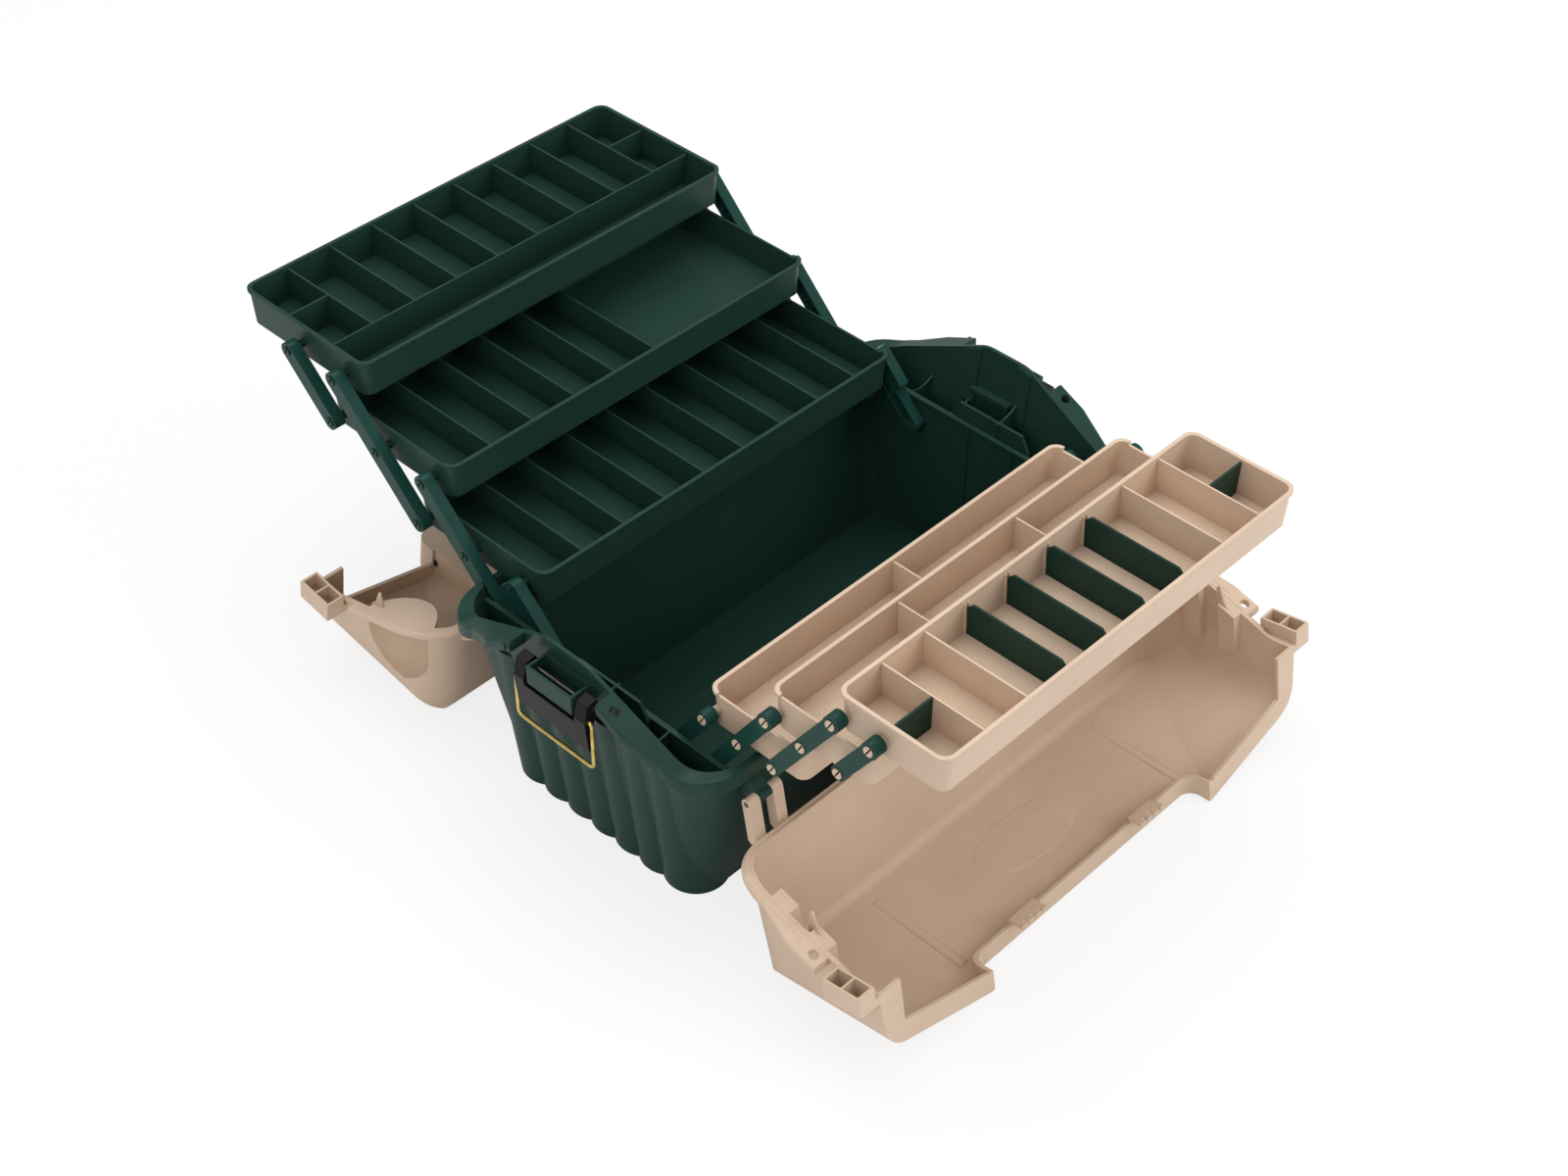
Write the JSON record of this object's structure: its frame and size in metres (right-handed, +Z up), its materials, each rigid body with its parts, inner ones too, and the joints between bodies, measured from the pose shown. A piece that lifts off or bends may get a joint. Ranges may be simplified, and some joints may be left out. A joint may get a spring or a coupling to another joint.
{
  "type": "tackle box",
  "caption": "Hip-roof tackle box with two opening half lids, stepped cantilever trays on parallel links, divided compartments, end latches with wire bails and a folding handle.",
  "frame": {"origin": "middle of the flat underside of the tub", "axes": "+Z up; X along the box, with the end nearer the camera at -X; the tan trays open towards -Y and the green trays towards +Y"},
  "size_m": [0.529, 0.7517, 0.2862],
  "materials": {
    "green_plastic": "satin moulded, dark green",
    "divider_green": "satin moulded, dark green",
    "link_green": "satin moulded, dark green",
    "tan_plastic": "satin moulded, tan",
    "handle_plastic": "satin moulded, dark green",
    "black_plastic": "satin moulded, black",
    "pin_steel": "plain drawn steel",
    "brass_wire": "bright brass-plated wire"
  },
  "bodies": {
    "tub": {"base_tub": "green_plastic", "near_latch_pin": "pin_steel", "far_latch_pin": "pin_steel"},
    "front_lid": {"front_lid": "tan_plastic"},
    "back_lid": {"back_lid": "tan_plastic"},
    "handle": {"carry_handle": "handle_plastic"},
    "front_hinge_pins": {"front_hinge_pins": "pin_steel"},
    "back_hinge_pins": {"back_hinge_pins": "pin_steel"},
    "front_low_tray": {"front_low_tray": "tan_plastic"},
    "front_mid_tray": {"front_mid_tray": "tan_plastic"},
    "front_top_tray": {"front_top_tray": "tan_plastic", "long_divider_1": "divider_green", "long_divider_2": "divider_green", "long_divider_3": "divider_green", "long_divider_4": "divider_green", "near_short_divider": "divider_green", "far_short_divider": "divider_green"},
    "back_low_tray": {"back_low_tray": "green_plastic"},
    "back_mid_tray": {"back_mid_tray": "green_plastic"},
    "back_top_tray": {"back_top_tray": "green_plastic"},
    "near_latch": {"near_latch": "black_plastic"},
    "far_latch": {"far_latch": "black_plastic"},
    "near_bail": {"near_bail": "brass_wire"},
    "far_bail": {"far_bail": "brass_wire"},
    "front_first_links": {"front_first_link_near": "link_green", "front_first_link_far": "link_green"},
    "front_second_links": {"front_second_link_near": "link_green", "front_second_link_far": "link_green"},
    "front_third_links": {"front_third_link_near": "link_green", "front_third_link_far": "link_green"},
    "front_fourth_links": {"front_fourth_link_near": "link_green", "front_fourth_link_far": "link_green"},
    "back_first_links": {"back_first_link_near": "link_green", "back_first_link_far": "link_green"},
    "back_second_links": {"back_second_link_near": "link_green", "back_second_link_far": "link_green"},
    "back_third_links": {"back_third_link_near": "link_green", "back_third_link_far": "link_green"},
    "back_fourth_links": {"back_fourth_link_near": "link_green", "back_fourth_link_far": "link_green"}
  },
  "joints": [
    {"name": "front_arm_swing", "type": "hinge", "parent": "tub", "child": "front_second_links", "pos_m": [0, -0.1077, 0.1398], "axis": [-1, 0, 0], "range_deg": [0, 78.93]},
    {"name": "front_first_arm_swing", "type": "hinge", "parent": "tub", "child": "front_first_links", "pos_m": [0, -0.0732, 0.1398], "axis": [-1, 0, 0], "range_deg": [0, 78.93]},
    {"name": "front_low_tray_level", "type": "hinge", "parent": "front_second_links", "child": "front_low_tray", "pos_m": [0, -0.1345, 0.1802], "axis": [-1, 0, 0], "range_deg": [-78.93, 0]},
    {"name": "front_mid_tray_level", "type": "hinge", "parent": "front_second_links", "child": "front_mid_tray", "pos_m": [0, -0.1613, 0.2206], "axis": [-1, 0, 0], "range_deg": [-78.93, 0]},
    {"name": "front_third_arm_swing", "type": "hinge", "parent": "front_mid_tray", "child": "front_third_links", "pos_m": [0, -0.1958, 0.2206], "axis": [-1, 0, 0], "range_deg": [0, 78.93]},
    {"name": "front_fourth_arm_swing", "type": "hinge", "parent": "front_mid_tray", "child": "front_fourth_links", "pos_m": [0, -0.2303, 0.2206], "axis": [-1, 0, 0], "range_deg": [0, 78.93]},
    {"name": "front_top_tray_level", "type": "hinge", "parent": "front_third_links", "child": "front_top_tray", "pos_m": [0, -0.2226, 0.261], "axis": [-1, 0, 0], "range_deg": [-78.93, 0]},
    {"name": "front_pin_turn", "type": "hinge", "parent": "tub", "child": "front_hinge_pins", "pos_m": [0, -0.1485, 0.132], "axis": [-1, 0, 0], "range_deg": [0, 122.05]},
    {"name": "front_lid_hinge", "type": "hinge", "parent": "front_hinge_pins", "child": "front_lid", "pos_m": [0, -0.1485, 0.132], "axis": [-1, 0, 0], "range_deg": [0, 48]},
    {"name": "back_arm_swing", "type": "hinge", "parent": "tub", "child": "back_second_links", "pos_m": [0, 0.1152, 0.1283], "axis": [1, 0, 0], "range_deg": [0, 103.43]},
    {"name": "back_first_arm_swing", "type": "hinge", "parent": "tub", "child": "back_first_links", "pos_m": [0, 0.0602, 0.1283], "axis": [1, 0, 0], "range_deg": [0, 103.43]},
    {"name": "back_low_tray_level", "type": "hinge", "parent": "back_second_links", "child": "back_low_tray", "pos_m": [0, 0.1602, 0.1741], "axis": [1, 0, 0], "range_deg": [-103.43, 0]},
    {"name": "back_mid_tray_level", "type": "hinge", "parent": "back_second_links", "child": "back_mid_tray", "pos_m": [0, 0.2052, 0.2199], "axis": [1, 0, 0], "range_deg": [-103.43, 0]},
    {"name": "back_third_arm_swing", "type": "hinge", "parent": "back_mid_tray", "child": "back_third_links", "pos_m": [0, 0.2602, 0.2199], "axis": [1, 0, 0], "range_deg": [0, 103.43]},
    {"name": "back_fourth_arm_swing", "type": "hinge", "parent": "back_mid_tray", "child": "back_fourth_links", "pos_m": [0, 0.3152, 0.2199], "axis": [1, 0, 0], "range_deg": [0, 103.43]},
    {"name": "back_top_tray_level", "type": "hinge", "parent": "back_third_links", "child": "back_top_tray", "pos_m": [0, 0.3052, 0.2657], "axis": [1, 0, 0], "range_deg": [-103.43, 0]},
    {"name": "back_pin_turn", "type": "hinge", "parent": "tub", "child": "back_hinge_pins", "pos_m": [0, 0.1485, 0.132], "axis": [1, 0, 0], "range_deg": [0, 122.05]},
    {"name": "back_lid_hinge", "type": "hinge", "parent": "back_hinge_pins", "child": "back_lid", "pos_m": [0, 0.1485, 0.132], "axis": [1, 0, 0], "range_deg": [0, 48]},
    {"name": "near_latch_lever", "type": "hinge", "parent": "tub", "child": "near_latch", "pos_m": [-0.2545, 0, 0.182], "axis": [0, -1, 0], "range_deg": [-115, 0]},
    {"name": "near_bail_swing", "type": "hinge", "parent": "near_latch", "child": "near_bail", "pos_m": [-0.26, 0, 0.172], "axis": [0, 1, 0], "range_deg": [0, 188]},
    {"name": "far_latch_lever", "type": "hinge", "parent": "tub", "child": "far_latch", "pos_m": [0.2545, 0, 0.182], "axis": [0, 1, 0], "range_deg": [-115, 0]},
    {"name": "far_bail_swing", "type": "hinge", "parent": "far_latch", "child": "far_bail", "pos_m": [0.26, 0, 0.172], "axis": [0, -1, 0], "range_deg": [0, 188]},
    {"name": "handle_swing", "type": "hinge", "parent": "back_lid", "child": "handle", "pos_m": [0, 0.31511, 0.01922], "axis": [1, 0, 0], "range_deg": [0, 90]}
  ],
  "couplings": [
    {"joint": "front_first_arm_swing", "follows": "front_arm_swing", "ratio": 1},
    {"joint": "front_low_tray_level", "follows": "front_arm_swing", "ratio": -1},
    {"joint": "front_mid_tray_level", "follows": "front_arm_swing", "ratio": -1},
    {"joint": "front_third_arm_swing", "follows": "front_arm_swing", "ratio": 1},
    {"joint": "front_fourth_arm_swing", "follows": "front_arm_swing", "ratio": 1},
    {"joint": "front_top_tray_level", "follows": "front_arm_swing", "ratio": -1},
    {"joint": "front_pin_turn", "follows": "front_arm_swing", "ratio": 1.5457},
    {"joint": "back_first_arm_swing", "follows": "back_arm_swing", "ratio": 1},
    {"joint": "back_low_tray_level", "follows": "back_arm_swing", "ratio": -1},
    {"joint": "back_mid_tray_level", "follows": "back_arm_swing", "ratio": -1},
    {"joint": "back_third_arm_swing", "follows": "back_arm_swing", "ratio": 1},
    {"joint": "back_fourth_arm_swing", "follows": "back_arm_swing", "ratio": 1},
    {"joint": "back_top_tray_level", "follows": "back_arm_swing", "ratio": -1},
    {"joint": "back_pin_turn", "follows": "back_arm_swing", "ratio": 1.1795}
  ]
}
